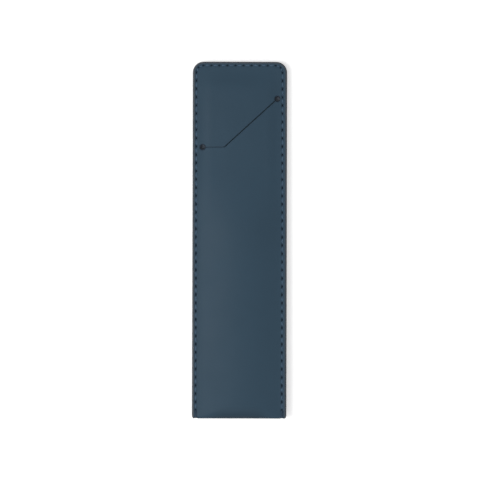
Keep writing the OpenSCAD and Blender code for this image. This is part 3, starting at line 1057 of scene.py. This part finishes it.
# %% Stitch tree
def stitch_tree():
    tree = bpy.data.node_groups.new("stitches_on_seam", "GeometryNodeTree")
    face = tree.interface
    face.new_socket("Seam", in_out="INPUT", socket_type="NodeSocketGeometry")
    face.new_socket("Stitch", in_out="INPUT", socket_type="NodeSocketObject")
    length = face.new_socket("Stitch length", in_out="INPUT", socket_type="NodeSocketFloat")
    length.default_value = STITCH * MM
    loose = face.new_socket("Unevenness", in_out="INPUT", socket_type="NodeSocketFloat")
    loose.default_value = 0.03
    face.new_socket("Thread", in_out="INPUT", socket_type="NodeSocketMaterial")
    face.new_socket("Stitches", in_out="OUTPUT", socket_type="NodeSocketGeometry")
    gin, gout = tree.nodes.new("NodeGroupInput"), tree.nodes.new("NodeGroupOutput")

    def link(a, b):
        tree.links.new(a, b)

    ends = tree.nodes.new("GeometryNodeInputMeshEdgeVertices")
    along = add(tree, "ShaderNodeVectorMath", operation="SUBTRACT")
    link(ends.outputs["Position 2"], along.inputs[0])
    link(ends.outputs["Position 1"], along.inputs[1])
    size = add(tree, "ShaderNodeVectorMath", operation="LENGTH")
    link(along.outputs[0], size.inputs[0])
    keep_dir = add(tree, "GeometryNodeCaptureAttribute", domain="EDGE")
    keep_dir.capture_items.new("VECTOR", "Along")
    keep_dir.capture_items.new("FLOAT", "Length")
    link(gin.outputs["Seam"], keep_dir.inputs["Geometry"])
    link(along.outputs[0], keep_dir.inputs["Along"])
    link(size.outputs["Value"], keep_dir.inputs["Length"])
    to_points = add(tree, "GeometryNodeMeshToPoints", mode="EDGES")
    link(keep_dir.outputs["Geometry"], to_points.inputs["Mesh"])
    turn = add(tree, "FunctionNodeAlignRotationToVector", axis="X")
    turn.pivot_axis = "AUTO"
    link(keep_dir.outputs["Along"], turn.inputs["Vector"])
    ratio = maths(tree, "DIVIDE", keep_dir.outputs["Length"], gin.outputs["Stitch length"])
    uneven = add(tree, "FunctionNodeRandomValue", data_type="FLOAT")
    uneven.inputs["Seed"].default_value = 7
    uneven.inputs[2].default_value = -1.0
    uneven.inputs[3].default_value = 1.0
    fat = scaled(tree, uneven.outputs[1], gin.outputs["Unevenness"], 1.0)
    scale = add(tree, "ShaderNodeCombineXYZ")
    link(ratio, scale.inputs["X"])
    link(fat, scale.inputs["Y"])
    scale.inputs["Z"].default_value = 1.0
    source = tree.nodes.new("GeometryNodeObjectInfo")
    link(gin.outputs["Stitch"], source.inputs["Object"])
    copies = tree.nodes.new("GeometryNodeInstanceOnPoints")
    link(to_points.outputs["Points"], copies.inputs["Points"])
    link(source.outputs["Geometry"], copies.inputs["Instance"])
    link(turn.outputs["Rotation"], copies.inputs["Rotation"])
    link(scale.outputs[0], copies.inputs["Scale"])
    real = tree.nodes.new("GeometryNodeRealizeInstances")
    link(copies.outputs["Instances"], real.inputs["Geometry"])
    paint = tree.nodes.new("GeometryNodeSetMaterial")
    link(real.outputs["Geometry"], paint.inputs["Geometry"])
    link(gin.outputs["Thread"], paint.inputs["Material"])
    link(paint.outputs["Geometry"], gout.inputs["Stitches"])
    return tree


STITCH_TREE = stitch_tree()


def socket_id(tree, label):
    sockets = [s for s in tree.interface.items_tree if s.in_out == "INPUT"]
    return next(s.identifier for s in sockets if s.name == label)


# %% Wrapped stitches at the fold
WRAP_RINGS, WRAP_BEFORE = 8, 0.05
WRAP_DIVE, WRAP_DIVE_LEN = 0.9, 0.7
# the wrapped stitches get half of the painted shade colour, for the shade round the fold
WRAP_R, WRAP_THREAD_SHADE = THREAD_R * 0.95, 0.5


def wrap_path(x):
    """Down the margin from the last hole and half-way round the nose, in the groove's bed."""
    low = HALF_L - SEAM_LOW
    vs = np.concatenate([np.linspace(low - WRAP_BEFORE, RUN, WRAP_RINGS),
                         np.linspace(RUN, RUN + NOSE / 2, WRAP_RINGS)[1:]])
    xs = np.full(len(vs), x)
    sink = WRAP_DEPTH + WRAP_DIVE * np.clip(1 - (vs - low) / WRAP_DIVE_LEN, 0, 1) ** 2
    return outer_point(xs, vs) - outer_normal(xs, vs) * sink[:, None]


def stitches(name, side):
    """The stitches of one face as one mesh: side is 1 for the front and -1 for the back."""
    line = bpy.data.meshes.new(name + "_line")
    points = [(x * MM, y * MM, 0.0) for x, y in HOLES]
    line.from_pydata(points, [(i, i + 1) for i in range(len(points) - 1)], [])
    carrier = bpy.data.objects.new(name + "_line", line)
    bpy.context.scene.collection.objects.link(carrier)
    modifier = carrier.modifiers.new("stitches", "NODES")
    modifier.node_group = STITCH_TREE
    modifier[socket_id(STITCH_TREE, "Stitch")] = one_stitch
    modifier[socket_id(STITCH_TREE, "Thread")] = THREAD
    bpy.context.view_layer.update()
    made = carrier.evaluated_get(bpy.context.evaluated_depsgraph_get())
    mesh = bpy.data.meshes.new_from_object(made)
    bpy.data.objects.remove(carrier)
    piece = bpy.data.objects.new(name, mesh)
    mesh.name = name
    bpy.context.scene.collection.objects.link(piece)
    for x in (SEAM_LEFT, SEAM_RIGHT):
        path = wrap_path(x)
        wrap = thread_piece("wrap", path, [WRAP_R] * len(path), painted_shade=WRAP_THREAD_SHADE)
        wrap.data.materials.append(THREAD)
        pair = [piece, wrap]
        with bpy.context.temp_override(active_object=piece, object=piece, selected_objects=pair,
                                       selected_editable_objects=pair):
            bpy.ops.object.join()
    co = np.array([v.co for v in piece.data.vertices]) / MM
    co[:, 2] *= side
    piece.data.vertices.foreach_set("co", to_frame(co).astype(np.float32).ravel())
    if side < 0:
        piece.data.flip_normals()
    piece.data.update()
    print(name, len(piece.data.polygons), "faces")
    return piece


front_thread = stitches("needle_stitches", 1)
back_thread = stitches("bobbin_stitches", -1)
bpy.data.objects.remove(one_stitch)

# %% [markdown]
# ## Floor and light
# A plain white table. The camera sees it as pure white, and it still takes the sleeve's shadow: a
# soft lamp stands to the left and a little towards the fold, as in the photo, and two wider ones
# fill in from the fold's end and from the right.


# %% Floor and world
FLOOR_HALF, FLOOR_WHITE, FLOOR_GLOW = 1.5, 0.86, 0.4


def floor_material():
    mat = bpy.data.materials.new("white_table")
    mat.use_nodes = True
    tree = mat.node_tree
    tree.nodes.clear()
    out = add(tree, "ShaderNodeOutputMaterial")
    matt = add(tree, "ShaderNodeBsdfDiffuse")
    matt.inputs["Color"].default_value = (FLOOR_WHITE, FLOOR_WHITE, FLOOR_WHITE, 1)
    glow = add(tree, "ShaderNodeEmission")
    seen = add(tree, "ShaderNodeLightPath")
    strength = maths(tree, "MULTIPLY", seen.outputs["Is Camera Ray"], FLOOR_GLOW)
    tree.links.new(strength, glow.inputs["Strength"])
    both = add(tree, "ShaderNodeAddShader")
    tree.links.new(matt.outputs[0], both.inputs[0])
    tree.links.new(glow.outputs[0], both.inputs[1])
    tree.links.new(both.outputs[0], out.inputs["Surface"])
    return mat


floor_mesh = bpy.data.meshes.new("floor")
square = ((-1, -1), (1, -1), (1, 1), (-1, 1))
floor_mesh.from_pydata([(x * FLOOR_HALF, y * FLOOR_HALF, 0) for x, y in square], [], [(0, 1, 2, 3)])
floor = bpy.data.objects.new("floor", floor_mesh)
bpy.context.scene.collection.objects.link(floor)
floor.data.materials.append(floor_material())


def world_light(strength):
    """White to the camera, and a light of that strength to all else."""
    world = bpy.data.worlds.new("studio")
    bpy.context.scene.world = world
    world.use_nodes = True
    tree = world.node_tree
    back = tree.nodes["Background"]
    back.inputs["Color"].default_value = (1, 1, 1, 1)
    seen = add(tree, "ShaderNodeLightPath")
    camera_ray, glass_ray = seen.outputs["Is Camera Ray"], seen.outputs["Is Transmission Ray"]
    rays = maths(tree, "MAXIMUM", camera_ray, glass_ray)
    tree.links.new(scaled(tree, rays, 1.0 - strength, strength), back.inputs["Strength"])


def lamp(name, at, size, watts):
    data = bpy.data.lights.new(name, "AREA")
    data.shape = "RECTANGLE"
    data.size, data.size_y = size
    data.energy = watts
    obj = bpy.data.objects.new(name, data)
    obj.location = at
    obj.rotation_mode = "QUATERNION"
    obj.rotation_quaternion = (-Vector(at)).to_track_quat("-Z", "Y")
    bpy.context.scene.collection.objects.link(obj)


world_light(strength=0.5)
lamp("key", at=(-0.46, -0.07, 0.58), size=(0.3, 0.37), watts=2.33)
lamp("front", at=(-0.25, -0.42, 0.8), size=(0.8, 0.6), watts=1.6)
lamp("side", at=(0.6, 0.3, 0.7), size=(0.7, 0.7), watts=0.5)
bpy.context.scene.view_settings.view_transform = "Standard"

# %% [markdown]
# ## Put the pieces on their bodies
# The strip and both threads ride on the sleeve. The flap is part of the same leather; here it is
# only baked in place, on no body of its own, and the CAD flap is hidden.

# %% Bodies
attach(strip, "sleeve")
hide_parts("back_panel", "bottom_fold", "front_panel")
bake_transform(flap)
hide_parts("entry_flap")
for thread, node in ((front_thread, "needle_thread"), (back_thread, "bobbin_thread")):
    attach(thread, "sleeve")
    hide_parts(node)
